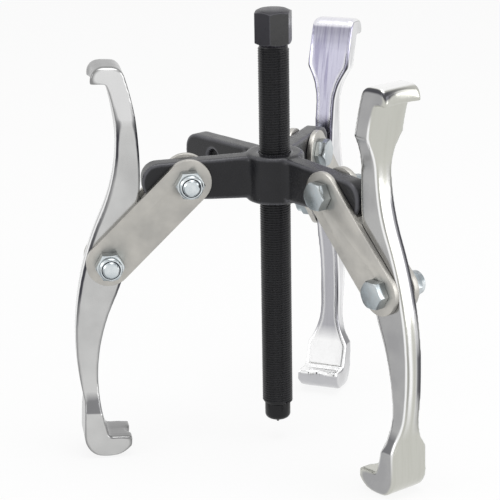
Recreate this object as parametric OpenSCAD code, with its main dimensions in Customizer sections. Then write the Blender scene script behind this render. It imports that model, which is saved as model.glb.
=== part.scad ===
/* [Forcing screw] */
// Outside diameter of the thread
screw_d = 17.4; // [14:0.1:20]
// Length of the threaded shank
shank_len = 210; // [170:1:260]
// Turns of the thread to each 25.4 mm
threads_per_inch = 18; // [12:1:20]
// Depth of the thread
thread_depth = 0.7; // [0.4:0.05:0.9]
// Width across the flats of the hex head
head_flats = 19; // [17:0.5:27]
// Height of the hex head
head_h = 19.5; // [12:0.5:30]
// Height of the bevels that turn down the head's corners
head_bevel = 1.5; // [0.5:0.1:3]
// Length of the bevel at each end of the thread
thread_bevel = 1.3; // [0.4:0.1:2]

/* [Thrust tip] */
// Diameter of the nose that bears on the shaft
nose_d = 14.6; // [12:0.1:16]
// Length of the nose
nose_len = 9.8; // [6:0.1:20]
// Radius of the nose's lower edge
nose_round = 3; // [1:0.1:3.6]
// Diameter of the small centring point
point_d = 2.4; // [1:0.1:4]
// Length of the small centring point
point_len = 2.6; // [1:0.1:6]
// Diameter of the spigot that turns inside the screw's end
spigot_d = 7; // [4:0.1:9]
// Length of the spigot
spigot_len = 14; // [6:0.5:24]

/* [Crosshead] */
// Distance from the screw's axis to each arm bolt
arm_bolt_r = 49.5; // [44:0.5:64]
// Length of an arm beyond its bolt
arm_end = 25.4; // [18:0.2:27]
// Height of the arms where they leave the hub
arm_h = 25.2; // [23:0.2:30]
// Height of the arms at their outer ends
arm_end_h = 21.2; // [19.4:0.2:22.8]
// Height of the hub's rim above the arms
hub_rise = 0.3; // [0.2:0.1:2]
// Depth of the hub's foot below the arms
hub_drop = 1.6; // [0.2:0.1:4]
// Thickness of the arms, and of the jaws at their bolts
arm_t = 11; // [9:0.1:14]
// Radius of the two corners at an arm's outer end
arm_corner = 9.5; // [4:0.5:9.5]
// Radius of the long edges of the arms
arm_edge = 1.5; // [0.5:0.1:2]
// Depth of the webs between the arms below the arms' own faces
web_step = 2.6; // [2.4:0.1:5]
// Diameter of the hub
hub_d = 33; // [30:0.5:40]
// Depth inside the hub's wall at which each arm starts
arm_root = 4; // [3:0.5:5]
// Radius of the hollow corners where two arms meet the hub
hub_fillet = 8; // [5:0.5:10]
// Height of the arm bolts above the nose's end face
bolt_height = 146.5; // [120:0.5:170]

/* [Links] */
// Distance between the two holes of a link
link_pitch = 63.5; // [60:0.5:72]
// Width of a link bar
link_w = 25.4; // [20:0.2:28]
// Thickness of a link bar
link_t = 3.2; // [2:0.1:6]
// Clearance at each flat face between pieces that turn on one another
side_play = 0.15; // [0.1:0.01:0.25]

/* [Bolts and lock nuts] */
// Diameter of the bolt shanks
bolt_d = 9.5; // [8:0.1:10]
// Width across the flats of the bolt heads and the nuts
bolt_flats = 14.3; // [13:0.1:16]
// Height of a bolt head
bolt_head_h = 6; // [4:0.1:8]
// Height of a nut's hex part
nut_hex_h = 7.4; // [5:0.1:10]
// Diameter of the collar that holds the nylon ring
collar_d = 13.2; // [12.4:0.1:14]
// Height of the collar
collar_h = 3.6; // [2.4:0.1:5]
// Wall of the collar round the nylon ring
collar_wall = 0.8; // [0.4:0.1:1]
// Height of the lip that the collar turns in over its nylon ring
lip_h = 0.5; // [0.3:0.1:1]
// Width of the nylon that shows between the bolt and that lip
nylon_shows = 0.5; // [0.2:0.1:0.8]
// Length of bolt that shows beyond its nut
bolt_tail = 1.2; // [0.4:0.1:3]
// Bevel at a bolt's end, and round the edges of the hexes
bolt_bevel = 0.9; // [0.3:0.1:1.2]
// Radial clearance of every shaft in its hole
fit_gap = 0.05; // [0.02:0.01:0.09]

/* [Jaws] */
// Height of the crest of the upper hook above the jaw's bolt
jaw_up = 112; // [106:0.5:120]
// Depth of the sole of the lower hook below the jaw's bolt
jaw_down = 114.5; // [108:0.5:122]
// Reach of the inner edge's bulge in from the bolt's line
bulge_in = 16.5; // [15:0.1:17.2]
// Height of that bulge above the bolt
bulge_in_z = 45; // [40:0.5:50]
// Radius of that bulge
bulge_in_r = 186; // [175:1:200]
// Distance of the inner edge's waist out from the bolt's line
waist_in = 4.5; // [3:0.1:6]
// Depth of that waist below the bolt
waist_in_z = 65; // [62:0.5:70]
// Reach of the outer edge's bulge out from the bolt's line
bulge_out = 17.5; // [15.5:0.1:19]
// Depth of that bulge below the bolt
bulge_out_z = 38.5; // [32:0.5:42]
// Radius of that bulge
bulge_out_r = 175; // [160:1:185]
// Distance of the outer edge's waist in from the bolt's line
waist_out = 2.7; // [1.5:0.1:4]
// Height of that waist above the bolt
waist_out_z = 65.5; // [62:0.5:70]
// Reach of the upper hook's tip out from the bolt's line
upper_reach = 12.9; // [10:0.1:16]
// Height of the upper hook
upper_hook_h = 9.6; // [8.2:0.1:12]
// Radius of the upper hook's round back and nose
upper_round = 7.5; // [5:0.1:8.8]
// Reach of the lower hook's tip in from the bolt's line
lower_reach = 15; // [12:0.1:20]
// Radius of the sole, from the lowest point in to the hook's tip
sole_r = 18.5; // [15:0.1:26]
// Reach of the lower hook's heel out from the bolt's line
heel_out = 12; // [9:0.1:13]
// Radius of the round heel, which is also the lower hook's height there
heel_r = 12.5; // [11:0.1:14]
// Width of the hooks and of the flared ends
flare_w = 25; // [20:0.5:30]
// Height over which the upper end keeps its full width
flare_up = 28; // [22:0.5:32]
// Height over which the lower end keeps its full width
flare_down = 26.5; // [18:0.5:28]
// Radius of the scoops that narrow a flared end to the jaw's shank
scoop_r = 38; // [25:1:50]
// Radius of the corners of the flared ends
flare_corner = 3; // [1:0.5:6]
// Width of the shallow hollow that nearly fills the upper hook's tip
upper_hollow_w = 22; // [16:0.5:24]
// Depth of that hollow
upper_hollow_depth = 1.8; // [0.5:0.1:3]
// Width of the hollow in the middle of the lower hook's tip
lower_hollow_w = 9.4; // [5:0.1:12]
// Depth of that hollow
lower_hollow_depth = 2.2; // [0.5:0.1:4]

/* [Stored pose] */
// Fall of the right jaw's links below level
right_drop = 43.9; // [42:0.1:44.5]
// Lean of the right jaw, foot outwards
right_lean = 2.2; // [-7:0.1:3.2]
// Lean of the rear jaw, foot outwards
rear_lean = -6; // [-7:0.1:3.2]
// Lean of the left jaw, foot outwards
left_lean = 3.2; // [-7:0.1:3.2]

/* [Hidden] */
$fn = 64;

// Directions of the arms. The spare arm lies opposite the right jaw, so two jaws can work in line
RIGHT = 0;
REAR = 120;
SPARE = 180;
LEFT = 240;

// A reach that cuts clean through any piece, and how far a cut runs past a face
far = 400;
past = 1;

screw_r = screw_d / 2;
pitch = 25.4 / threads_per_inch;
turns = floor((shank_len - 2 * thread_bevel) / pitch);
bore_r = bolt_d / 2 + fit_gap;
arm_top = bolt_height + arm_h / 2;
arm_foot = bolt_height - arm_h / 2;
link_start = arm_t / 2 + side_play;
bolt_seat = link_start + link_t + side_play;
ring_r = collar_d / 2 - collar_wall;

// Each arm starts inside the hub, short of its neighbours
arm_start = hub_d / 2 - arm_root;
hub_bevel = 1.2;

// How far the hollow corners cut into the faces that they run up to, so that they meet cleanly
blend = 0.15;
corner_ratio = 2 / sqrt(3);

// Gripping faces of a jaw's hooks, measured from its bolt
upper_grip = jaw_up - upper_hook_h;
lower_grip = heel_r - jaw_down;
heel_x = heel_out - heel_r;

// A waist meets the bulge on the same edge in one smooth line when its radius is this
function waist_radius(rise, swing, bulge_r) = rise * rise / (2 * swing) - bulge_r + swing / 2;
waist_in_r = waist_radius(bulge_in_z + waist_in_z, bulge_in + waist_in, bulge_in_r);
waist_out_r = waist_radius(bulge_out_z + waist_out_z, bulge_out + waist_out, bulge_out_r);
bulge_in_at = [bulge_in_r - bulge_in, bulge_in_z];
waist_in_at = [waist_in - waist_in_r, -waist_in_z];
bulge_out_at = [bulge_out - bulge_out_r, -bulge_out_z];
waist_out_at = [waist_out_r - waist_out, waist_out_z];
function meeting(a, b, ra, rb) = a + (b - a) * ra / (ra + rb);
// How far the upper and the lower half of the shank run past one another
half_lap = 4;
inner_meeting = meeting(bulge_in_at, waist_in_at, bulge_in_r, waist_in_r);
outer_meeting = meeting(bulge_out_at, waist_out_at, bulge_out_r, waist_out_r);

// Centre of the upper hook's back, which runs into the inner bulge in one smooth line
back_z = jaw_up - upper_round;
back_x = bulge_in_at[0] - sqrt(pow(bulge_in_r - upper_round, 2) - pow(back_z - bulge_in_z, 2));
back_end = bulge_in_z + (back_z - bulge_in_z) * bulge_in_r / (bulge_in_r - upper_round);

// Height at which the heel's outer face leaves the outer bulge
heel_top = -bulge_out_z - sqrt(pow(bulge_out_r, 2) - pow(heel_out - bulge_out_at[0], 2));

// The soles of all three jaws stand on one floor, whatever the lean of each jaw
function sole_drop(lean) =
    let (r = lean > 0 ? sole_r : heel_r) heel_x * sin(lean) + (r - jaw_down) * cos(lean) - r;
function sole_height(drop, lean) = bolt_height - link_pitch * sin(drop) + sole_drop(lean);
function drop_to(height, lean) = asin((bolt_height + sole_drop(lean) - height) / link_pitch);
floor_z = sole_height(right_drop, right_lean);
rear_drop = drop_to(floor_z, rear_lean);
left_drop = drop_to(floor_z, left_lean);

FORGED = [0.17, 0.17, 0.19];
BLACK = [0.13, 0.13, 0.15];
STEEL = [0.70, 0.69, 0.67];
JAW = [0.62, 0.62, 0.64];
ZINC = [0.60, 0.66, 0.70];
NYLON = [0.12, 0.16, 0.30];

// Places, with x out from the screw, y along the bolts towards their nuts, and z up
module at_arm(azimuth)
    rotate([0, 0, azimuth]) translate([arm_bolt_r, 0, bolt_height]) children();
module at_jaw(azimuth, drop)
    at_arm(azimuth)
        translate([link_pitch * cos(drop), 0, -link_pitch * sin(drop)]) children();

// An outline drawn in x and z, given a thickness along y
module across(start, thick)
    translate([0, start + thick, 0]) rotate([90, 0, 0]) linear_extrude(thick) children();

// A round piece or a hex turned to run along y
module lengthwise(start)
    translate([0, start, 0]) rotate([-90, 0, 0]) children();

module hex(flats, height)
    cylinder(d = flats * corner_ratio, h = height, $fn = 6);

// A round blank with both ends bevelled, used to turn down the corners of a hex
module bevelled(d, height, low, high) {
    cylinder(d1 = d - 2 * low, d2 = d, h = low);
    translate([0, 0, low]) cylinder(d = d, h = height - low - high);
    translate([0, 0, height - high]) cylinder(d1 = d, d2 = d - 2 * high, h = high);
}

// ---- forcing screw and its thrust tip ----
module forcing_screw() {
    screw_foot = nose_len + side_play;
    color(BLACK) difference() {
        union() {
            translate([0, 0, screw_foot]) threaded_shank();
            translate([0, 0, screw_foot + shank_len]) rotate([0, 0, 11]) intersection() {
                hex(head_flats, head_h);
                head_blank();
            }
        }
        translate([0, 0, -past])
            cylinder(d = spigot_d + 2 * fit_gap, h = nose_len + spigot_len + 3 * past);
    }
}

// One ridge stands for each turn of the thread, as the thread shows from the side
module threaded_shank() {
    root_r = screw_r - thread_depth;
    first = (shank_len - turns * pitch) / 2;
    rotate_extrude($fn = 60) polygon(concat(
        [[0, 0], [screw_r - thread_bevel, 0], [root_r, thread_bevel - thread_depth]],
        [for (step = [0 : 2 * turns])
            [step % 2 == 0 ? root_r : screw_r, first + step * pitch / 2]],
        [[root_r, shank_len + thread_depth - thread_bevel], [screw_r - thread_bevel, shank_len],
         [screw_r - thread_bevel, shank_len + thread_bevel], [0, shank_len + thread_bevel]]
    ));
}

// The lathe-turned form of the head: flat on top, coned below down to the shank
module head_blank() {
    full = head_flats * corner_ratio / 2;
    rotate_extrude() polygon([
        [0, 0], [full - 2 * head_bevel, 0], [full, head_bevel],
        [full, head_h - head_bevel], [full - 2 * head_bevel, head_h], [0, head_h]
    ]);
}

module thrust_tip() {
    nose_r = nose_d / 2;
    color(BLACK) {
        rotate_extrude() difference() {
            union() {
                square([nose_r - nose_round, nose_len]);
                translate([0, nose_round]) square([nose_r, nose_len - nose_round]);
                translate([nose_r - nose_round, nose_round]) circle(nose_round);
                translate([0, nose_len - past]) square([spigot_d / 2, spigot_len + past]);
            }
            translate([-far, -far / 2]) square([far, far]);
        }
        translate([0, 0, -point_len]) cylinder(d1 = point_d / 2, d2 = point_d, h = point_len / 2);
        translate([0, 0, -point_len / 2]) cylinder(d = point_d, h = point_len / 2 + past);
    }
}

// ---- crosshead ----
// Cross-section of an arm's upper half and whatever lies below, with y across and z up
module arm_section() {
    flat = arm_t / 2 - arm_edge;
    tall = arm_h / 2 - arm_edge;
    translate([-arm_t / 2, -arm_h]) square([arm_t, arm_h + tall]);
    translate([-flat, -arm_h]) square([2 * flat, 1.5 * arm_h]);
    for (y = [-flat, flat]) translate([y, tall]) circle(arm_edge, $fn = 48);
}

// Side view of an arm, with rounded corners at the outer end
module arm_side() {
    reach = arm_bolt_r + arm_end;
    tall = arm_end_h / 2 - arm_corner;
    translate([arm_start, -arm_h]) square([reach - arm_corner - arm_start, 2 * arm_h]);
    translate([arm_start, -tall]) square([reach - arm_start, 2 * tall]);
    for (z = [-tall, tall]) translate([reach - arm_corner, z]) circle(arm_corner);
}

// An arm grows less tall towards its outer end
module arm() {
    reach = arm_bolt_r + arm_end;
    slope = atan((arm_h - arm_end_h) / 2 / (reach - arm_corner));
    translate([0, 0, bolt_height]) intersection() {
        arm_upper(reach, slope);
        mirror([0, 0, 1]) arm_upper(reach, slope);
        across(-arm_t, 2 * arm_t) arm_side();
    }
}

module arm_upper(reach, slope)
    rotate([0, slope, 0]) rotate([90, 0, 90]) translate([0, 0, arm_start])
        linear_extrude(reach) arm_section();

// Filling in the wide corner between an arm and the hub, on one side of the arm
module hub_corner(azimuth, side) {
    y = arm_t / 2 + hub_fillet - blend;
    x = sqrt(pow(hub_d / 2 + hub_fillet - blend, 2) - y * y);
    rotate(azimuth) difference() {
        polygon([[0, 0], [x, 0], [x, side * y]]);
        translate([x, side * y]) circle(hub_fillet);
    }
}

// Filling in the narrow corner between two neighbouring arms
module arm_corner_web(azimuth, turn) {
    y = arm_t / 2 + hub_fillet - blend;
    x = y / tan(turn / 2);
    rotate(azimuth) difference() {
        polygon([[0, 0], [x, 0], [x, y], [x * cos(turn), x * sin(turn)]]);
        translate([x, y]) circle(hub_fillet);
    }
}

module crosshead() {
    hub_h = arm_h + hub_rise + hub_drop;
    color(FORGED) difference() {
        union() {
            for (azimuth = [RIGHT, REAR, SPARE, LEFT]) rotate([0, 0, azimuth]) arm();
            translate([0, 0, arm_foot - hub_drop]) bevelled(hub_d, hub_h, hub_bevel, hub_bevel);
            translate([0, 0, arm_foot + web_step]) linear_extrude(arm_h - 2 * web_step) {
                for (side = [1, -1]) hub_corner(RIGHT, side);
                hub_corner(REAR, -1);
                hub_corner(LEFT, 1);
                arm_corner_web(REAR, SPARE - REAR);
                arm_corner_web(SPARE, LEFT - SPARE);
            }
        }
        translate([0, 0, arm_foot - hub_drop - past])
            cylinder(r = screw_r + fit_gap, h = hub_h + 2 * past);
        for (azimuth = [RIGHT, REAR, SPARE, LEFT])
            at_arm(azimuth) lengthwise(-arm_t) cylinder(r = bore_r, h = 2 * arm_t);
    }
}

// ---- links ----
module link(azimuth, drop, start) {
    color(STEEL) at_arm(azimuth) rotate([0, drop, 0]) across(start, link_t) difference() {
        union() {
            translate([0, -link_w / 2]) square([link_pitch, link_w]);
            for (x = [0, link_pitch]) translate([x, 0]) circle(d = link_w);
        }
        for (x = [0, link_pitch]) translate([x, 0]) circle(bore_r);
    }
}
module head_side_link(azimuth, drop) link(azimuth, drop, -link_start - link_t);
module nut_side_link(azimuth, drop) link(azimuth, drop, link_start);

// ---- bolts, lock nuts and their nylon rings ----
module bolt() {
    color(ZINC) {
        lengthwise(-bolt_seat - bolt_head_h) intersection() {
            hex(bolt_flats, bolt_head_h);
            bevelled(bolt_flats * corner_ratio, bolt_head_h, bolt_bevel, 0.01);
        }
        lengthwise(-bolt_seat - past)
            bevelled(bolt_d, 2 * bolt_seat + past + nut_hex_h + collar_h + bolt_tail,
                     0.01, bolt_bevel);
    }
}

module nut() {
    rim = collar_wall;
    color(ZINC) lengthwise(bolt_seat) difference() {
        union() {
            intersection() {
                hex(bolt_flats, nut_hex_h);
                bevelled(bolt_flats * corner_ratio, nut_hex_h, bolt_bevel / 2, bolt_bevel);
            }
            translate([0, 0, nut_hex_h - past]) cylinder(d = collar_d, h = collar_h + past - rim);
            translate([0, 0, nut_hex_h + collar_h - rim])
                cylinder(d1 = collar_d, d2 = collar_d - 2 * rim, h = rim);
        }
        translate([0, 0, -past]) cylinder(r = bore_r, h = nut_hex_h + collar_h + 2 * past);
        translate([0, 0, nut_hex_h]) cylinder(r = ring_r, h = collar_h - lip_h);
        translate([0, 0, nut_hex_h]) cylinder(r = bore_r + nylon_shows, h = collar_h + past);
    }
}

module nut_ring() {
    color(NYLON) lengthwise(bolt_seat + nut_hex_h) difference() {
        cylinder(r = ring_r - fit_gap, h = collar_h - lip_h - fit_gap);
        translate([0, 0, -past]) cylinder(r = bore_r, h = collar_h + 2 * past);
    }
}

// ---- jaws ----
// The half of the plane above, or below, the line from one point to another
module half_plane(above, start, end) {
    step = end - start;
    translate(start) rotate(atan2(step[1], step[0]))
        translate([-far / 2, above ? 0 : -far]) square([far, far]);
}

module band(low, high)
    translate([-far / 2, low]) square([far, high - low]);

// Side view of the shank: one edge bulges where the other is waisted, and each half runs
// on past the other inside the edge that is not its own
module shank_side() {
    difference() {
        intersection() {
            translate(bulge_in_at) circle(bulge_in_r, $fn = 240);
            half_plane(true, inner_meeting - [0, half_lap], outer_meeting);
            band(-jaw_down, back_end);
        }
        translate(waist_out_at) circle(waist_out_r, $fn = 240);
    }
    difference() {
        union() {
            intersection() {
                translate(bulge_out_at) circle(bulge_out_r, $fn = 240);
                half_plane(false, inner_meeting, outer_meeting + [0, half_lap]);
                band(lower_grip, jaw_up);
            }
            translate([0, lower_grip]) square([heel_out, heel_top - lower_grip]);
        }
        translate(waist_in_at) circle(waist_in_r, $fn = 240);
    }
}

module upper_hook_side() {
    nose_x = upper_reach - upper_round;
    intersection() {
        band(upper_grip, jaw_up);
        union() {
            for (x = [back_x, nose_x]) translate([x, back_z]) circle(upper_round);
            translate([back_x, back_z]) square([nose_x - back_x, upper_round]);
            translate([back_x, upper_grip]) square([upper_reach - back_x, back_z - upper_grip]);
        }
    }
}

// A tight arc forms the heel and a wider one the sole, and they meet at the lowest point
module lower_hook_side() {
    for (arc = [[heel_r, heel_x, far], [sole_r, -lower_reach, lower_reach + heel_x]])
        intersection() {
            translate([heel_x, arc[0] - jaw_down]) circle(arc[0], $fn = 120);
            translate([arc[1], -jaw_down - past]) square([arc[2], heel_r + past]);
        }
}

// Front view of one flared end, from its taper to its rounded corners, built towards +y
module flare_front(end, full) {
    wide = flare_w / 2;
    neck = arm_t / 2;
    start = end - full;
    taper = sqrt(pow(scoop_r, 2) - pow(scoop_r - wide + neck, 2));
    translate([-wide, start]) square([flare_w, full - flare_corner]);
    translate([flare_corner - wide, start]) square([flare_w - 2 * flare_corner, full]);
    for (x = [flare_corner - wide, wide - flare_corner])
        translate([x, end - flare_corner]) circle(flare_corner, $fn = 48);
    difference() {
        translate([-wide, start - taper]) square([flare_w, taper]);
        for (x = [neck + scoop_r, -neck - scoop_r])
            translate([x, start - taper]) circle(scoop_r, $fn = 120);
    }
}

module jaw_front() {
    translate([-arm_t / 2, -jaw_down]) square([arm_t, jaw_down + jaw_up]);
    flare_front(jaw_up, flare_up);
    mirror([0, 1]) flare_front(jaw_down, flare_down);
}

// An upright hollow cut into a hook's tip, as deep and as wide as stated
module tip_hollow(reach, height, wide, deep) {
    hollow_r = (wide * wide / 4 + deep * deep) / (2 * deep);
    translate([reach + hollow_r - deep, 0, -past])
        cylinder(r = hollow_r, h = height + 2 * past, $fn = 160);
}

module jaw(azimuth, drop, lean) {
    color(JAW) at_jaw(azimuth, drop) rotate([0, -lean, 0]) difference() {
        intersection() {
            across(-flare_w, 2 * flare_w) {
                shank_side();
                upper_hook_side();
                lower_hook_side();
            }
            rotate([90, 0, 90]) translate([0, 0, -far / 4]) linear_extrude(far / 2) jaw_front();
        }
        lengthwise(-flare_w) cylinder(r = bore_r, h = 2 * flare_w);
        translate([0, 0, upper_grip])
            tip_hollow(upper_reach, upper_hook_h, upper_hollow_w, upper_hollow_depth);
        translate([0, 0, -jaw_down]) mirror([1, 0, 0])
            tip_hollow(lower_reach, heel_r, lower_hollow_w, lower_hollow_depth);
    }
}

crosshead();
forcing_screw();
thrust_tip();
jaw(RIGHT, right_drop, right_lean);  // right_jaw
jaw(REAR, rear_drop, rear_lean);  // rear_jaw
jaw(LEFT, left_drop, left_lean);  // left_jaw
head_side_link(RIGHT, right_drop);  // right_link_head_side
nut_side_link(RIGHT, right_drop);  // right_link_nut_side
head_side_link(REAR, rear_drop);  // rear_link_head_side
nut_side_link(REAR, rear_drop);  // rear_link_nut_side
head_side_link(LEFT, left_drop);  // left_link_head_side
nut_side_link(LEFT, left_drop);  // left_link_nut_side
at_arm(RIGHT) bolt();  // right_arm_bolt
at_arm(REAR) bolt();  // rear_arm_bolt
at_arm(LEFT) bolt();  // left_arm_bolt
at_jaw(RIGHT, right_drop) bolt();  // right_jaw_bolt
at_jaw(REAR, rear_drop) bolt();  // rear_jaw_bolt
at_jaw(LEFT, left_drop) bolt();  // left_jaw_bolt
at_arm(RIGHT) nut();  // right_arm_nut
at_arm(REAR) nut();  // rear_arm_nut
at_arm(LEFT) nut();  // left_arm_nut
at_jaw(RIGHT, right_drop) nut();  // right_jaw_nut
at_jaw(REAR, rear_drop) nut();  // rear_jaw_nut
at_jaw(LEFT, left_drop) nut();  // left_jaw_nut
at_arm(RIGHT) nut_ring();  // right_arm_nut_ring
at_arm(REAR) nut_ring();  // rear_arm_nut_ring
at_arm(LEFT) nut_ring();  // left_arm_nut_ring
at_jaw(RIGHT, right_drop) nut_ring();  // right_jaw_nut_ring
at_jaw(REAR, rear_drop) nut_ring();  // rear_jaw_nut_ring
at_jaw(LEFT, left_drop) nut_ring();  // left_jaw_nut_ring
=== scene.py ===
# A three-jaw gear puller: one crosshead forging, three reversible jaws hung from it on
# paired link bars, and a long fine-threaded forcing screw with a hex head down the middle.
import math

import bmesh
import bpy
import numpy as np
from mathutils import Matrix, Vector


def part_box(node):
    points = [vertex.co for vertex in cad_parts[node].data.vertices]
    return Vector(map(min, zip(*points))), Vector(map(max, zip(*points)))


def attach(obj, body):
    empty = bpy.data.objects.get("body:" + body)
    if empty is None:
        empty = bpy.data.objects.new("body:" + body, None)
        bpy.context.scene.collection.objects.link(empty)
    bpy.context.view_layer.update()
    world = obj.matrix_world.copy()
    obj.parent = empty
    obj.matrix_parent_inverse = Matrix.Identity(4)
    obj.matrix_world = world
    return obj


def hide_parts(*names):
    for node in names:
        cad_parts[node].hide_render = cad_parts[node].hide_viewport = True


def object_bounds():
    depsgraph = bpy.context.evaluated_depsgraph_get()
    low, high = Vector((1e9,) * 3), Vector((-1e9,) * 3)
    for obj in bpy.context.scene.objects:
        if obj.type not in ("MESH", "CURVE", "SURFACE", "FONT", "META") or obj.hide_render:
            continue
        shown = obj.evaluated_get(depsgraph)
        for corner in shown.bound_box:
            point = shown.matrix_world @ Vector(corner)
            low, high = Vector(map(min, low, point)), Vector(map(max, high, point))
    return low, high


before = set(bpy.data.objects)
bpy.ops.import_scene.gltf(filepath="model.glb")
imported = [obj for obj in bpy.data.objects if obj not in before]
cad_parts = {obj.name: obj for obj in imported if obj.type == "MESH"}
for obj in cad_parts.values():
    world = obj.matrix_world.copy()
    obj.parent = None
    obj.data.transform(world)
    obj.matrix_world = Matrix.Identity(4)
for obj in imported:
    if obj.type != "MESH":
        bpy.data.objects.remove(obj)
cad_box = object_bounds()

# ---- The crosshead ----
# One drop forging in steel: a round hub with four flat-sided arms whose edges the dies
# leave round. It is painted satin black; the paint wears thin along those edges, and they
# are painted lighter, partly as that wear and partly as a painted highlight.
CROSSHEAD_SKIN = 0.0007
CROSSHEAD_EASE = 7
BLACK_PAINT = (0.011, 0.011, 0.013, 1)
BLACK_PAINT_DUSTY = (0.018, 0.018, 0.021, 1)
BLACK_PAINT_WORN_AND_HIGHLIT = (0.10, 0.10, 0.112, 1)
BLACK_PAINT_GLOSS = 0.3
BLACK_PAINT_ROUGH = (0.23, 0.33)
# How rounded an edge is where its wear and painted highlight start, and where they are most.
EDGE_WEAR_AND_HIGHLIGHT = (0.02, 0.08)
EDGE_ROUNDS = 8
# Nearly all the values of a noise lie between these two.
NOISE_SPREAD = (0.3, 0.7)
# Points of a solid's mesh that are closer than this, in metres, are one point.
SAME_POINT = 1e-6


def closed_copy(node, name):
    """A copy of a solid's mesh, merged into one closed skin."""
    piece = bpy.data.objects.new(name, bpy.data.meshes.new(name))
    bpy.context.scene.collection.objects.link(piece)
    skin = bmesh.new()
    skin.from_mesh(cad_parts[node].data)
    bmesh.ops.remove_doubles(skin, verts=skin.verts, dist=SAME_POINT)
    skin.to_mesh(piece.data)
    skin.free()
    piece.data.materials.clear()
    return piece


def forge(piece, spacing, rounds):
    """Rounds every edge as a forging die leaves it: an even fine skin, then rounds of easing."""
    even = piece.modifiers.new("even skin", "REMESH")
    even.mode = "VOXEL"
    even.voxel_size = spacing
    even.use_smooth_shade = True
    soft = piece.modifiers.new("eased edges", "SMOOTH")
    soft.factor = 0.5
    soft.iterations = rounds
    settled = bpy.data.meshes.new_from_object(
        piece.evaluated_get(bpy.context.evaluated_depsgraph_get()))
    piece.modifiers.clear()
    piece.data = settled


def spread_normals(piece, rounds):
    """The skin's normals, each averaged by half with its neighbours' over and over."""
    mesh = piece.data
    count = len(mesh.vertices)
    pairs = np.empty(len(mesh.edges) * 2, dtype=np.int64)
    mesh.edges.foreach_get("vertices", pairs)
    first, second = pairs[0::2], pairs[1::2]
    spread = np.empty(count * 3)
    mesh.vertices.foreach_get("normal", spread)
    spread = spread.reshape(-1, 3)
    shared = np.maximum(np.bincount(pairs, minlength=count), 1)[:, None]
    for _ in range(rounds):
        near = np.stack([np.bincount(first, spread[second, axis], count)
                         + np.bincount(second, spread[first, axis], count)
                         for axis in range(3)], axis=1)
        spread = 0.5 * spread + 0.5 * near / shared
    return spread


def mark(piece, name, amount):
    """Keeps a value on each point of the skin."""
    kept = piece.data.attributes.new(name, "FLOAT", "POINT")
    kept.data.foreach_set("value", amount.astype(np.float32))


def marked(made, name):
    """Reads a mark kept on the points of the piece."""
    kept = made.node_tree.nodes.new("ShaderNodeAttribute")
    kept.attribute_name = name
    return kept.outputs["Fac"]


def new_finish(name, metal):
    """A material with its shader, and how far the shader is metal."""
    made = bpy.data.materials.new(name)
    made.use_nodes = True
    shader = made.node_tree.nodes["Principled BSDF"]
    shader.inputs["Metallic"].default_value = metal
    return made, shader


def grain(made, size, stretch=(1, 1, 1), detail=3.0):
    """Noise with features of a size in metres; a stretch under 1 draws them out along that axis."""
    nodes, links = made.node_tree.nodes, made.node_tree.links
    place = nodes.new("ShaderNodeTexCoord")
    stretched = nodes.new("ShaderNodeMapping")
    stretched.inputs["Scale"].default_value = stretch
    noise = nodes.new("ShaderNodeTexNoise")
    noise.inputs["Scale"].default_value = 1 / size
    noise.inputs["Detail"].default_value = detail
    links.new(place.outputs["Object"], stretched.inputs["Vector"])
    links.new(stretched.outputs["Vector"], noise.inputs["Vector"])
    return noise.outputs["Fac"]


def between(made, source, low, high, bottom=0.0, top=1.0):
    """Takes a value from one range into another, and holds it at that range's ends."""
    span = made.node_tree.nodes.new("ShaderNodeMapRange")
    for socket, value in (("From Min", low), ("From Max", high), ("To Min", bottom), ("To Max", top)):
        span.inputs[socket].default_value = value
    made.node_tree.links.new(source, span.inputs["Value"])
    return span.outputs["Result"]


def colours(made, amount, first, second):
    """Mixes two colours, each given as numbers or taken from another mix."""
    mix = made.node_tree.nodes.new("ShaderNodeMix")
    mix.data_type = "RGBA"
    made.node_tree.links.new(amount, mix.inputs[0])
    for socket, colour in ((mix.inputs[6], first), (mix.inputs[7], second)):
        if isinstance(colour, tuple):
            socket.default_value = colour
        else:
            made.node_tree.links.new(colour, socket)
    return mix.outputs[2]


def coat(made, shader, colour, clouds, rough, texture, depth):
    """Gives a shader its colour, a roughness that clouds between two values, and a fine relief."""
    links = made.node_tree.links
    links.new(colour, shader.inputs["Base Color"])
    links.new(between(made, clouds, *NOISE_SPREAD, *rough), shader.inputs["Roughness"])
    bump = made.node_tree.nodes.new("ShaderNodeBump")
    bump.inputs["Strength"].default_value = 1.0
    bump.inputs["Distance"].default_value = depth
    links.new(texture, bump.inputs["Height"])
    links.new(bump.outputs["Normal"], shader.inputs["Normal"])


def dress(piece, made, body, slot, *nodes):
    """Paints a piece, hangs it on its body and hides the solids it stands for."""
    piece.data.materials.clear()
    piece.data.materials.append(made)
    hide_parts(*nodes)
    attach(piece, body)


black_paint, shader = new_finish("black_paint_on_forging", metal=0.0)
shader.inputs["Specular IOR Level"].default_value = BLACK_PAINT_GLOSS
dusty = colours(black_paint, grain(black_paint, size=0.009), BLACK_PAINT, BLACK_PAINT_DUSTY)
# The rounded edges are painted lighter: partly worn paint, partly a painted highlight.
edge_wear_and_highlight = between(black_paint, marked(black_paint, "crown"), *EDGE_WEAR_AND_HIGHLIGHT)
paint_worn_and_highlit = colours(black_paint, edge_wear_and_highlight, dusty, BLACK_PAINT_WORN_AND_HIGHLIT)
coat(black_paint, shader, paint_worn_and_highlit, grain(black_paint, size=0.004), BLACK_PAINT_ROUGH,
     texture=grain(black_paint, size=0.0011, detail=4.0), depth=0.00003)

crosshead = closed_copy("crosshead", "crosshead_forging")
forge(crosshead, CROSSHEAD_SKIN, CROSSHEAD_EASE)
mark(crosshead, "crown", 1 - np.linalg.norm(spread_normals(crosshead, EDGE_ROUNDS), axis=1))
dress(crosshead, black_paint, "crosshead", "black_forging", "crosshead")

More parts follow.
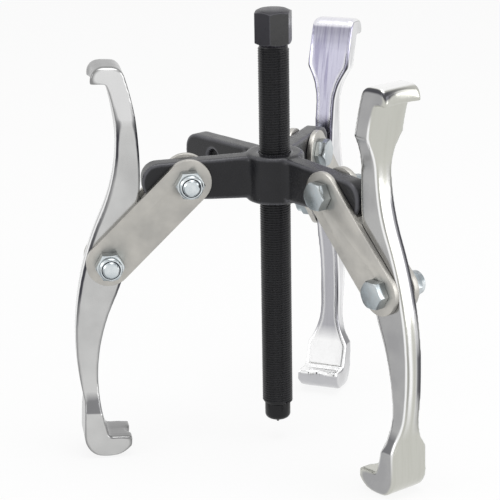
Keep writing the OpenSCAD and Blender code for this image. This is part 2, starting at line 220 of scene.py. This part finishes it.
# ---- The forcing screw ----
# One bar of steel, turned and threaded 18 to the inch over its whole shank, with a hex
# head forged on the end for the wrench. It is oxide blacked and lightly oiled.
THREAD_PITCH = 0.0254 / 18
THREAD_DEPTH = 0.00042
THREAD_STEPS = 20
# How far the ridge of the thread is sunk in the shank, and how far its middle stays from
# the shank's end and from the head.
THREAD_SUNK = 0.0003
THREAD_FROM_END = 0.0009
THREAD_FROM_HEAD = 0.0012
# The flanks of the ridge stop this far short of its full height, and its crest less.
FLANK_SHORT = 0.00005
CREST_SHORT = 0.00002
# No point of the shank is further out than this, and the head is at least this tall.
SHANK_WITHIN = 0.0088
HEAD_LEAST = 0.015
# The shank's last stretch under the head, and how far past it still counts as shank.
UNDER_HEAD = 0.001
FOOT_SLACK = 0.0001
# Faces nearer than this to one plane are merged, and edges sharper than this look sharp.
FLAT_WITHIN = math.radians(1)
SCREW_SHARP_FROM = math.radians(32)
SCREW_BLACK = (0.005, 0.005, 0.006, 1)
SCREW_BLACK_DRY = (0.010, 0.010, 0.012, 1)
# Edges are painted lighter, partly as worn oxide and partly as a painted highlight.
SCREW_BLACK_WORN_AND_HIGHLIT = (0.030, 0.030, 0.034, 1)
HEAD_BLACK = (0.031, 0.030, 0.037, 1)
# One flat of the head is painted paler, as painted light.
HEAD_PAINTED_LIT = (0.055, 0.055, 0.056, 1)
HEAD_WORN_AND_HIGHLIT = (0.10, 0.098, 0.115, 1)
SCREW_GLOSS = 0.26
SCREW_ROUGH = (0.24, 0.34)
# The head's flat that faces this way is painted paler, as painted light; and how nearly a
# surface faces that way where this painted light starts and is full.
LIT_FLAT_AZIMUTH = math.radians(-20)
LIT_FLAT = (math.cos(LIT_FLAT_AZIMUTH), math.sin(LIT_FLAT_AZIMUTH), 0)
LIT_FLAT_TURN = (0.85, 0.97)
# Where the bevelled and the true normal agree only this much, an edge is at its sharpest.
EDGE_AGREEMENT = 0.9


def out_from_axis(point):
    """How far a point of the mesh is from the screw's axis."""
    return math.hypot(point.co.x, point.co.y)


low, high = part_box("forcing_screw")
screw = closed_copy("forcing_screw", "forcing_screw_threaded")
skin = bmesh.new()
skin.from_mesh(screw.data)
head_foot = max(v.co.z for v in skin.verts
                if out_from_axis(v) < SHANK_WITHIN and v.co.z < high.z - HEAD_LEAST)
crest_r = max(out_from_axis(v) for v in skin.verts if v.co.z < head_foot - UNDER_HEAD)
root_r = crest_r - THREAD_DEPTH

# The solid's own ridges are turned down to the root of this shallower thread.
for v in skin.verts:
    if v.co.z < head_foot + FOOT_SLACK and out_from_axis(v) > root_r:
        shrink = root_r / out_from_axis(v)
        v.co.x *= shrink
        v.co.y *= shrink
bmesh.ops.remove_doubles(skin, verts=skin.verts, dist=SAME_POINT / 10)
bmesh.ops.dissolve_limit(skin, angle_limit=FLAT_WITHIN, verts=skin.verts, edges=skin.edges)

# The ridge of the thread is one profile wound a turn up the shank, then repeated turn by turn.
start_z = low.z + THREAD_FROM_END
sunk_r = root_r - THREAD_SUNK
flank_r = crest_r - FLANK_SHORT
profile = [(sunk_r, -0.46), (root_r, -0.42), (flank_r, -0.22), (crest_r - CREST_SHORT, 0.0),
           (flank_r, 0.22), (root_r, 0.42), (sunk_r, 0.46)]
ridge = bmesh.new()
ring = [ridge.verts.new((r, 0, start_z + share * THREAD_PITCH)) for r, share in profile]
ring += [ridge.edges.new((ring[i - 1], ring[i])) for i in range(len(profile))]
bmesh.ops.spin(
    ridge, geom=ring, cent=(0, 0, 0), axis=(0, 0, 1), dvec=(0, 0, THREAD_PITCH / THREAD_STEPS),
    angle=math.tau, steps=THREAD_STEPS, use_merge=False, use_normal_flip=False, use_duplicate=False)
turn = ridge.verts[:] + ridge.edges[:] + ridge.faces[:]
for count in range(1, int((head_foot - THREAD_FROM_HEAD - start_z) / THREAD_PITCH)):
    copied = bmesh.ops.duplicate(ridge, geom=turn)["geom"]
    bmesh.ops.translate(ridge, vec=(0, 0, count * THREAD_PITCH),
                        verts=[part for part in copied if isinstance(part, bmesh.types.BMVert)])
bmesh.ops.remove_doubles(ridge, verts=ridge.verts, dist=SAME_POINT)
bmesh.ops.holes_fill(ridge, edges=[edge for edge in ridge.edges if edge.is_boundary], sides=0)
bmesh.ops.recalc_face_normals(ridge, faces=ridge.faces)
for face in ridge.faces:
    face.smooth = True
wound_mesh = bpy.data.meshes.new("thread")
ridge.to_mesh(wound_mesh)
ridge.free()
skin.from_mesh(wound_mesh)
skin.to_mesh(screw.data)
skin.free()
screw.data.set_sharp_from_angle(angle=SCREW_SHARP_FROM)


def edges(made, radius, most):
    """How near a sharp edge is: 0 on a flat, up to `most` on the edge itself."""
    nodes, links = made.node_tree.nodes, made.node_tree.links
    eased = nodes.new("ShaderNodeBevel")
    eased.samples = 6
    eased.inputs["Radius"].default_value = radius
    true = nodes.new("ShaderNodeNewGeometry")
    dot = nodes.new("ShaderNodeVectorMath")
    dot.operation = "DOT_PRODUCT"
    links.new(eased.outputs["Normal"], dot.inputs[0])
    links.new(true.outputs["Normal"], dot.inputs[1])
    return between(made, dot.outputs["Value"], 1.0, EDGE_AGREEMENT, 0.0, most)


def along(made, axis):
    """The place on one axis, in metres."""
    place = made.node_tree.nodes.new("ShaderNodeTexCoord")
    apart = made.node_tree.nodes.new("ShaderNodeSeparateXYZ")
    made.node_tree.links.new(place.outputs["Object"], apart.inputs[0])
    return apart.outputs[axis]


def facing(made, direction):
    """How nearly a surface faces a direction of the piece: 1 square on, 0 edge on."""
    place = made.node_tree.nodes.new("ShaderNodeTexCoord")
    dot = made.node_tree.nodes.new("ShaderNodeVectorMath")
    dot.operation = "DOT_PRODUCT"
    dot.inputs[1].default_value = direction
    made.node_tree.links.new(place.outputs["Normal"], dot.inputs[0])
    return dot.outputs["Value"]


screw_black, shader = new_finish("black_oxide_screw", metal=0.0)
shader.inputs["Specular IOR Level"].default_value = SCREW_GLOSS
drier = grain(screw_black, size=0.02, stretch=(1, 1, 0.4))
dry = colours(screw_black, drier, SCREW_BLACK, SCREW_BLACK_DRY)
# The shank's edges are painted lighter: partly worn oxide, partly a painted highlight.
shank = colours(screw_black, edges(screw_black, radius=0.0005, most=0.6), dry, SCREW_BLACK_WORN_AND_HIGHLIT)
# One flat of the head is painted paler as painted light, by the way it faces.
lit_flat = between(screw_black, facing(screw_black, LIT_FLAT), *LIT_FLAT_TURN)
flats = colours(screw_black, lit_flat, HEAD_BLACK, HEAD_PAINTED_LIT)
# The head's edges are painted lighter: partly worn oxide, partly a painted highlight.
head = colours(screw_black, edges(screw_black, radius=0.0009, most=0.8), flats, HEAD_WORN_AND_HIGHLIT)
on_head = between(screw_black, along(screw_black, "Z"), head_foot - UNDER_HEAD, head_foot)
coat(screw_black, shader, colours(screw_black, on_head, shank, head),
     grain(screw_black, size=0.006), SCREW_ROUGH,
     texture=grain(screw_black, size=0.0006, stretch=(1, 1, 0.5)), depth=0.000012)
dress(screw, screw_black, "screw", "black_screw", "forcing_screw")

# ---- The nose ----
# A hardened steel nose on a spigot in the screw's end: it stands still in the shaft's
# centre hole while the screw turns. It is ground plain and blacked like the screw.
NOSE_EASE = 0.0003
# An edge sharper than the first angle is taken off, and one sharper than the second is
# shaded as an edge.
EASED_FROM = math.radians(28)
SHADED_FROM = math.radians(40)


def eased_copy(node, name, width):
    """A closed copy whose sharp edges are taken off by a small round."""
    piece = closed_copy(node, name)
    body = bmesh.new()
    body.from_mesh(piece.data)
    bmesh.ops.dissolve_limit(body, angle_limit=FLAT_WITHIN, verts=body.verts, edges=body.edges)
    sharp = [e for e in body.edges if e.is_manifold and e.calc_face_angle() > EASED_FROM]
    bmesh.ops.bevel(body, geom=sharp, offset=width, offset_type="OFFSET", segments=2, profile=0.5,
                    affect="EDGES", material=-1, clamp_overlap=True)
    bmesh.ops.remove_doubles(body, verts=body.verts, dist=SAME_POINT)
    for face in body.faces:
        face.smooth = True
    body.to_mesh(piece.data)
    body.free()
    piece.data.set_sharp_from_angle(angle=SHADED_FROM)
    return piece


nose = eased_copy("thrust_tip", "nose_ground", NOSE_EASE)
dress(nose, screw_black, "thrust_tip", "black_screw", "thrust_tip")

# ---- The jaws ----
# Three like steel forgings, bright plated: flat-sided shanks that flare into a wide hook
# at each end. Each jaw's plate is painted in tones of its own as it is lit, and its broad
# faces with bands along their edges as painted reflections of a little crowned face.
JAW_SKIN = 0.00065
JAW_EASE = 16
# Rounds of averaging the normals: a few settle the shine, many tell the faces apart.
SHINE_ROUNDS = 8
CROWN_ROUNDS = 90
# Where the jaws stand round the screw, in degrees.
JAW_AZIMUTH = {"right": 0, "rear": 120, "left": 240}
UP = (0, 0, 1)

# The plate of each jaw, painted lighter or darker as it is lit: the side faces with duller
# clouds, and the broad faces with streaks painted as reflections.
SIDE_FACE_LIT_TONE = {
    "right": (0.44, 0.44, 0.435, 1),
    "rear": (0.74, 0.74, 0.75, 1),
    "left": (0.58, 0.58, 0.575, 1)}
SIDE_DULL_LIT_TONE = {
    "right": (0.34, 0.34, 0.345, 1),
    "rear": (0.52, 0.52, 0.53, 1),
    "left": (0.47, 0.47, 0.465, 1)}
BROAD_FACE_LIT_TONE = {
    "right": (0.55, 0.55, 0.505, 1),
    "rear": (0.60, 0.59, 0.71, 1),
    "left": (0.27, 0.27, 0.27, 1)}
# Streaks painted on the broad faces as painted reflections.
BROAD_REFLECTION_STREAK = {
    "right": (0.53, 0.53, 0.485, 1),
    "rear": (0.34, 0.325, 0.46, 1),
    "left": (0.21, 0.21, 0.21, 1)}
PLATE_ROUGH = (0.15, 0.23)

# From here on a ramp says where it starts and ends, then its values there if they aren't
# 0 and 1. A band says where it starts, is full, starts to fade and ends, then its strength.
CLOUD_RAMP = (0.35, 0.65)
REFLECTION_STREAK_RAMP = (0.46, 0.62, 0.0, 0.8)
PATCH_RAMP = (0.34, 0.50, 0.25, 1.0)

# Across a jaw, from a broad face's middle (0) to a side face (1).
SIDE_RAMP = (0.55, 0.72)
# Bands painted white as highlights and dark as reflections, along the jaws' faces.
HIGHLIGHT_BAND = {
    "right": (0.02, 0.14, 0.30, 0.38, 1.0),
    "rear": (0.72, 0.80, 0.88, 0.96, 0.9),
    "left": (0.02, 0.14, 0.40, 0.50, 0.8)}
DARK_REFLECTION_BAND = {
    "right": (0.24, 0.36, 0.50, 0.60, 0.92),
    "rear": (0.40, 0.50, 0.62, 0.70, 1.0),
    "left": (0.48, 0.56, 0.72, 0.80, 1.0)}
EDGE_HIGHLIGHT_BAND = {
    "right": (0.50, 0.58, 0.66, 0.76, 0.95),
    "rear": (0.14, 0.24, 0.30, 0.38, 0.55)}
PAINTED_HIGHLIGHT_WHITE = (0.93, 0.93, 0.93, 1)
PAINTED_REFLECTION_DARK = (0.055, 0.055, 0.065, 1)
BAND_WAVER = 0.04
# Across the right jaw from one side face (-1) to the other (1).
# A dark reflection band painted near the right jaw's margins.
MARGIN_REFLECTION_BAND = {"right": (0.07, 0.20, 0.50, 0.62, 0.9)}
FAR_RAMP = {"right": (-0.1, 0.1, 0.4, 1.0)}

# Heights in metres: how far the painted bands reach, and the places painted a tone of their
# own: darker low on the rear jaw, a painted highlight at its foot and painted shade at its
# hook's tip, and a painted highlight at the top of the left jaw's side faces.
SHANK_REACH = {
    "right": (0.022, 0.050, 0.150, 0.172),
    "rear": (0.020, 0.045, 0.188, 0.198),
    "left": (0.030, 0.060, 0.175, 0.196)}
RIM_REACH = (0.0, 0.02, 0.192, 0.200)
BROAD_LOW = (0.41, 0.41, 0.425, 1)
LOW_RAMP = (0.125, 0.095, 0.0, 0.9)
BROAD_FOOT_HIGHLIGHT = (0.98, 0.98, 0.98, 1)
FOOT_RAMP = (0.025, 0.016, 0.0, 0.95)
HOOK_TIP_SHADE = (0.40, 0.40, 0.42, 1)
TIP_RAMP = (0.0006, -0.0002, 0.0, 0.8)
# The top of the left jaw's side faces is painted lighter as a painted highlight.
SIDE_TOP_HIGHLIGHT = (0.74, 0.74, 0.74, 1)
SIDE_TOP_RAMP = (0.180, 0.185, 0.0, 0.85)
HOOK_RAMP = {"right": (0.186, 0.190), "rear": (0.190, 0.194)}
SLOPE_RAMP = (0.045, 0.060, 1.0, 0.0)

# How far a surface faces up: the slopes of the lower hooks, painted as shade, and the upper
# hooks' bends and crowns, painted as a dark reflection and a white highlight. The right
# jaw's bend fades from its near side to its far one, along Y.
# The lower hooks' slopes are painted dark as shade.
SLOPE_SHADE = (0.13, 0.13, 0.14, 1)
SLOPE_BAND = (0.27, 0.40, 0.60, 0.75, 0.8)
BEND_BAND = {"right": (0.10, 0.28, 0.74, 0.88, 0.95), "rear": (0.36, 0.42, 0.46, 0.54, 0.4)}
BEND_FADE = (-0.009, 0.010, 1.0, 0.15)
CROWN_RAMP = {"right": (0.80, 0.92, 0.0, 0.9), "rear": (0.46, 0.56, 0.0, 0.6)}
# How far a surface of the rear jaw faces away from the screw; those faces are painted
# another tone, as painted light.
BROAD_BACK_LIT_TONE = (0.55, 0.55, 0.54, 1)
BACK_RAMP = (-0.1, 0.2)


def product(made, first, second):
    """Multiplies two values."""
    times = made.node_tree.nodes.new("ShaderNodeMath")
    times.operation = "MULTIPLY"
    made.node_tree.links.new(first, times.inputs[0])
    made.node_tree.links.new(second, times.inputs[1])
    return times.outputs[0]


def window(made, source, start, full, fade, end, most=1.0):
    """Rises from nothing to `most` between start and full, and falls again between fade and end."""
    rise = between(made, source, start, full, 0.0, most)
    return product(made, rise, between(made, source, fade, end, 1.0, 0.0))


def from_middle(made):
    """How far round a surface is from a broad face's middle (0) to a side face (1), wavering."""
    nodes, links = made.node_tree.nodes, made.node_tree.links
    either_half = nodes.new("ShaderNodeMath")
    either_half.operation = "ABSOLUTE"
    wavering = nodes.new("ShaderNodeMath")
    wavering.operation = "ADD"
    waver = grain(made, size=0.012, stretch=(1, 1, 0.2), detail=1.0)
    links.new(marked(made, "across"), either_half.inputs[0])
    links.new(either_half.outputs[0], wavering.inputs[0])
    links.new(between(made, waver, *NOISE_SPREAD, -BAND_WAVER, BAND_WAVER), wavering.inputs[1])
    return wavering.outputs[0]


def streaks(made, azimuth, width, length):
    """Noise drawn out into streaks that run up a face, whichever way the face curves."""
    nodes, links = made.node_tree.nodes, made.node_tree.links
    place = nodes.new("ShaderNodeTexCoord")
    turned = nodes.new("ShaderNodeMapping")
    turned.vector_type = "TEXTURE"
    turned.inputs["Rotation"].default_value = (0, 0, azimuth)
    turned.inputs["Scale"].default_value = (length / width, 1, length / width)
    noise = nodes.new("ShaderNodeTexNoise")
    noise.inputs["Scale"].default_value = 1 / width
    noise.inputs["Detail"].default_value = 2.0
    links.new(place.outputs["Object"], turned.inputs["Vector"])
    links.new(turned.outputs["Vector"], noise.inputs["Vector"])
    return noise.outputs["Fac"]


def broad_faces(made, side, azimuth, height):
    """The broad faces with painted reflection streaks; the rear jaw's are painted another tone where
    they face away from the screw, and darker, a painted highlight and painted shade from its top to
    its foot.
    """
    # Streaks painted on the broad faces as painted reflections.
    reflection_streaks = between(made, streaks(made, azimuth, width=0.0017, length=0.035), *REFLECTION_STREAK_RAMP)
    broad = colours(made, reflection_streaks, BROAD_FACE_LIT_TONE[side], BROAD_REFLECTION_STREAK[side])
    if side == "rear":
        broad = colours(made, between(made, marked(made, "outward"), *BACK_RAMP), broad, BROAD_BACK_LIT_TONE)
        # Painted darker low down, a painted highlight at the foot and painted shade at the hook's
        # tip.
        for ramp, colour in ((LOW_RAMP, BROAD_LOW), (FOOT_RAMP, BROAD_FOOT_HIGHLIGHT), (TIP_RAMP, HOOK_TIP_SHADE)):
            broad = colours(made, between(made, height, *ramp), broad, colour)
    return broad


def side_faces(made, side, height, up):
    """The clouded plate of the side faces, with painted shade on the lower hook's slope and a painted
    highlight at the top of the left jaw's.
    """
    clouds = between(made, grain(made, size=0.03), *CLOUD_RAMP)
    flat = colours(made, clouds, SIDE_FACE_LIT_TONE[side], SIDE_DULL_LIT_TONE[side])
    # Painted shade on the lower hook's slope.
    slope = product(made, window(made, up, *SLOPE_BAND), between(made, height, *SLOPE_RAMP))
    flat = colours(made, slope, flat, SLOPE_SHADE)
    # The top of the left jaw's side faces is painted lighter as a painted highlight.
    if side == "left":
        flat = colours(made, between(made, height, *SIDE_TOP_RAMP), flat, SIDE_TOP_HIGHLIGHT)
    return flat


def plated(side, azimuth):
    """Bright plate with painted light: broad faces with painted reflection streaks, clouded side
    faces, and painted highlight and reflection bands between.
    """
    plate, shader = new_finish("bright_plate_on_" + side + "_forging", metal=1.0)
    height = along(plate, "Z")
    up = facing(plate, UP)
    half = marked(plate, "across")
    either_half = from_middle(plate)
    skin = colours(plate, between(plate, either_half, *SIDE_RAMP),
                   broad_faces(plate, side, azimuth, height), side_faces(plate, side, height, up))

    # The painted highlight and dark reflection bands that run the length of the jaw.
    shank = window(plate, height, *SHANK_REACH[side])
    rim = window(plate, height, *RIM_REACH)
    patches = grain(plate, size=0.05, stretch=(0.4, 0.4, 1), detail=1.0)
    patchy = product(plate, shank, between(plate, patches, *PATCH_RAMP))
    if side in FAR_RAMP:
        patchy = product(plate, patchy, between(plate, half, *FAR_RAMP[side]))
    for where, bands, reach, colour in (
            (either_half, HIGHLIGHT_BAND, shank, PAINTED_HIGHLIGHT_WHITE), (either_half, DARK_REFLECTION_BAND, patchy, PAINTED_REFLECTION_DARK),
            (either_half, EDGE_HIGHLIGHT_BAND, rim, PAINTED_HIGHLIGHT_WHITE), (half, MARGIN_REFLECTION_BAND, patchy, PAINTED_REFLECTION_DARK)):
        if side in bands:
            band = product(plate, window(plate, where, *bands[side]), reach)
            skin = colours(plate, band, skin, colour)

    # The upper hook's crown painted white as a highlight, and the bend under it painted dark as a
    # reflection.
    if side in HOOK_RAMP:
        hook = between(plate, height, *HOOK_RAMP[side])
        crown = product(plate, between(plate, up, *CROWN_RAMP[side]), hook)
        bend = product(plate, window(plate, up, *BEND_BAND[side]), hook)
        if side == "right":
            bend = product(plate, bend, between(plate, along(plate, "Y"), *BEND_FADE))
        skin = colours(plate, bend, colours(plate, crown, skin, PAINTED_HIGHLIGHT_WHITE), PAINTED_REFLECTION_DARK)

    coat(plate, shader, skin, grain(plate, size=0.004, stretch=(1, 1, 0.1)), PLATE_ROUGH,
         texture=streaks(plate, azimuth, width=0.003, length=0.03), depth=0.000012)
    return plate


for side, degrees in JAW_AZIMUTH.items():
    azimuth = math.radians(degrees)
    jaw = closed_copy(side + "_jaw", side + "_jaw_forging")
    forge(jaw, JAW_SKIN, JAW_EASE)
    jaw.data.normals_split_custom_set_from_vertices(spread_normals(jaw, SHINE_ROUNDS))
    crowned = spread_normals(jaw, CROWN_ROUNDS)
    mark(jaw, "across", crowned @ (-math.sin(azimuth), math.cos(azimuth), 0))
    mark(jaw, "outward", crowned @ (math.cos(azimuth), math.sin(azimuth), 0))
    dress(jaw, plated(side, azimuth), side + "_jaw", "jaw_steel", side + "_jaw")

# ---- The link bars ----
# Six flat bars punched from steel strip with round ends, two to each jaw. Tumbling takes
# off their edges, and a thin plate leaves them a satin warm grey.
LINK_EASE = 0.0004
LINK_GREY = (0.44, 0.43, 0.405, 1)
LINK_PALE = (0.53, 0.515, 0.48, 1)
LINK_ROUGH = (0.36, 0.48)

satin, shader = new_finish("satin_plate_on_bar", metal=1.0)
mottled = colours(satin, between(satin, grain(satin, size=0.014), *CLOUD_RAMP), LINK_GREY, LINK_PALE)
coat(satin, shader, mottled, grain(satin, size=0.003), LINK_ROUGH,
     texture=grain(satin, size=0.0007), depth=0.000008)

for side in JAW_AZIMUTH:
    for end in ("head_side", "nut_side"):
        node = side + "_link_" + end
        link = eased_copy(node, node + "_bar", LINK_EASE)
        dress(link, satin, side + "_links", "link_steel", node)

# ---- The bolts and lock nuts ----
# Six hex head bolts in the arms and jaws, each held by a lock nut whose round collar
# grips a nylon ring. Bolts and nuts are zinc plated, with a thin blue passivated film.
BOLT_EASE = 0.00022
NUT_EASE = 0.00022
RING_EASE = 0.00018
ZINC = (0.27, 0.295, 0.31, 1)
ZINC_REFLECTION_PALE = (0.70, 0.74, 0.755, 1)
ZINC_ROUGH = (0.17, 0.26)
ZINC_FILM = (0.42, 0.50, 0.54, 1)
FILM_RAMP = (0.4, 0.7, 0.0, 0.35)
# Facets that face different ways are painted different tones, as painted reflections: how
# fast the tone changes with the way a facet faces, and the noise's values at which it is
# darkest and palest.
FACET_CHANGE = 1.6
FACET_RAMP = (0.36, 0.62)
NYLON = (0.020, 0.028, 0.050, 1)
NYLON_PALE = (0.045, 0.055, 0.085, 1)
NYLON_ROUGH = (0.38, 0.52)

zinc, shader = new_finish("blue_zinc_plate", metal=1.0)
way = zinc.node_tree.nodes.new("ShaderNodeTexCoord")
facet = zinc.node_tree.nodes.new("ShaderNodeTexNoise")
facet.inputs["Scale"].default_value = FACET_CHANGE
facet.inputs["Detail"].default_value = 0.0
zinc.node_tree.links.new(way.outputs["Normal"], facet.inputs["Vector"])
# The facets are painted darker and paler by the way they face, as painted reflections.
facet_reflections = colours(zinc, between(zinc, facet.outputs["Fac"], *FACET_RAMP), ZINC, ZINC_REFLECTION_PALE)
filmed = colours(zinc, between(zinc, grain(zinc, size=0.003), *FILM_RAMP), facet_reflections, ZINC_FILM)
coat(zinc, shader, filmed, grain(zinc, size=0.0015), ZINC_ROUGH,
     texture=grain(zinc, size=0.0008, detail=2.0), depth=0.000004)

nylon, shader = new_finish("dyed_nylon", metal=0.0)
dyed = colours(nylon, grain(nylon, size=0.002), NYLON, NYLON_PALE)
coat(nylon, shader, dyed, grain(nylon, size=0.001), NYLON_ROUGH,
     texture=grain(nylon, size=0.0005), depth=0.00001)

for side in JAW_AZIMUTH:
    for place, body in (("arm", "crosshead"), ("jaw", side + "_links")):
        stem = side + "_" + place
        bolt = eased_copy(stem + "_bolt", stem + "_bolt_plated", BOLT_EASE)
        dress(bolt, zinc, body, "zinc", stem + "_bolt")
        nut = eased_copy(stem + "_nut", stem + "_nut_plated", NUT_EASE)
        dress(nut, zinc, body, "zinc", stem + "_nut")
        ring = eased_copy(stem + "_nut_ring", stem + "_nut_ring_moulded", RING_EASE)
        dress(ring, nylon, body, "nylon", stem + "_nut_ring")

# ---- The table and the light ----
# A plain white table, three wide soft lamps, and white all round. The table takes only a
# share of the shadows, and metal mirrors the table and the room as plain white.
TABLE_WHITE = (0.92, 0.92, 0.92, 1)
TABLE_ROUGH = 0.9
TABLE_SIZE = 6.0
TABLE_DROP = 0.0002
SHADOW_SHARE = 0.13
# How strongly the room itself lights things, next to how white it looks.
ROOM_LIGHT = 0.6
LAMP_TARGET = (0, 0, 0.10)

table = bpy.data.objects.new("table", bpy.data.meshes.new("table"))
bpy.context.scene.collection.objects.link(table)
sheet = bmesh.new()
bmesh.ops.create_grid(sheet, x_segments=1, y_segments=1, size=TABLE_SIZE,
                      matrix=Matrix.Translation((0, 0, cad_box[0][2] - TABLE_DROP)))
sheet.to_mesh(table.data)
sheet.free()


def seen_in_metal(made, path):
    """1 for what a reflection or a view through glass sees."""
    either = made.node_tree.nodes.new("ShaderNodeMath")
    either.operation = "MAXIMUM"
    made.node_tree.links.new(path.outputs["Is Glossy Ray"], either.inputs[0])
    made.node_tree.links.new(path.outputs["Is Transmission Ray"], either.inputs[1])
    return either.outputs[0]


white_top, shader = new_finish("white_table", metal=0.0)
shader.inputs["Base Color"].default_value = TABLE_WHITE
shader.inputs["Roughness"].default_value = TABLE_ROUGH
shader.inputs["Specular IOR Level"].default_value = 0.0
nodes, links = white_top.node_tree.nodes, white_top.node_tree.links
path = nodes.new("ShaderNodeLightPath")
glow = nodes.new("ShaderNodeEmission")
glow.inputs["Strength"].default_value = 1.0
share = nodes.new("ShaderNodeMath")
share.operation = "MULTIPLY_ADD"
share.inputs[1].default_value = 1 - SHADOW_SHARE
links.new(path.outputs["Is Camera Ray"], share.inputs[0])
links.new(seen_in_metal(white_top, path), share.inputs[2])
blend = nodes.new("ShaderNodeMixShader")
links.new(share.outputs[0], blend.inputs["Fac"])
links.new(shader.outputs["BSDF"], blend.inputs[1])
links.new(glow.outputs["Emission"], blend.inputs[2])
links.new(blend.outputs["Shader"], nodes["Material Output"].inputs["Surface"])
table.data.materials.append(white_top)

room = bpy.data.worlds.new("white_room")
bpy.context.scene.world = room
room.use_nodes = True
nodes, links = room.node_tree.nodes, room.node_tree.links
walls = nodes["Background"]
walls.inputs["Color"].default_value = (1, 1, 1, 1)
path = nodes.new("ShaderNodeLightPath")
seen = nodes.new("ShaderNodeMath")
seen.operation = "MAXIMUM"
links.new(path.outputs["Is Camera Ray"], seen.inputs[0])
links.new(seen_in_metal(room, path), seen.inputs[1])
links.new(between(room, seen.outputs[0], 0.0, 1.0, ROOM_LIGHT, 1.0), walls.inputs["Strength"])


def aimed(thing, place, target, roll=0.0):
    """Stands a lamp or the camera at a place and turns it to a target."""
    thing.location = place
    look = (Vector(target) - Vector(place)).normalized()
    thing.rotation_euler = (look.to_track_quat("-Z", "Y").to_matrix()
                            @ Matrix.Rotation(math.radians(roll), 3, "Z")).to_euler()


for name, place, size, power in (
        ("lamp_left", (-0.28, -1.20, 0.60), 0.5, 1.4),
        ("lamp_right", (1.05, 0.55, 0.45), 0.9, 4.6),
        ("lamp_above", (0.10, 0.05, 1.45), 0.9, 7.6)):
    lamp = bpy.data.objects.new(name, bpy.data.lights.new(name, "AREA"))
    bpy.context.scene.collection.objects.link(lamp)
    lamp.data.shape = "SQUARE"
    lamp.data.size = size
    lamp.data.energy = power
    aimed(lamp, place, LAMP_TARGET)

# ---- The camera ----
# It stands 1.2 m off, about twice as high as the puller is tall, and looks down at the
# puller's middle through a long lens. It is rolled by a degree.
CAMERA_PLACE = (0.871, -0.720, 0.4709)
CAMERA_TARGET = (-0.01749, -0.00466, 0.09824)
CAMERA_ROLL = -0.94
CAMERA_LENS = 151.6
CAMERA_SENSOR = 36.0

camera = bpy.data.objects.new("camera", bpy.data.cameras.new("camera"))
bpy.context.scene.collection.objects.link(camera)
camera.data.lens = CAMERA_LENS
camera.data.sensor_width = CAMERA_SENSOR
camera.data.clip_start = 0.05
aimed(camera, CAMERA_PLACE, CAMERA_TARGET, CAMERA_ROLL)
bpy.context.scene.camera = camera
bpy.context.scene.view_settings.view_transform = "Standard"
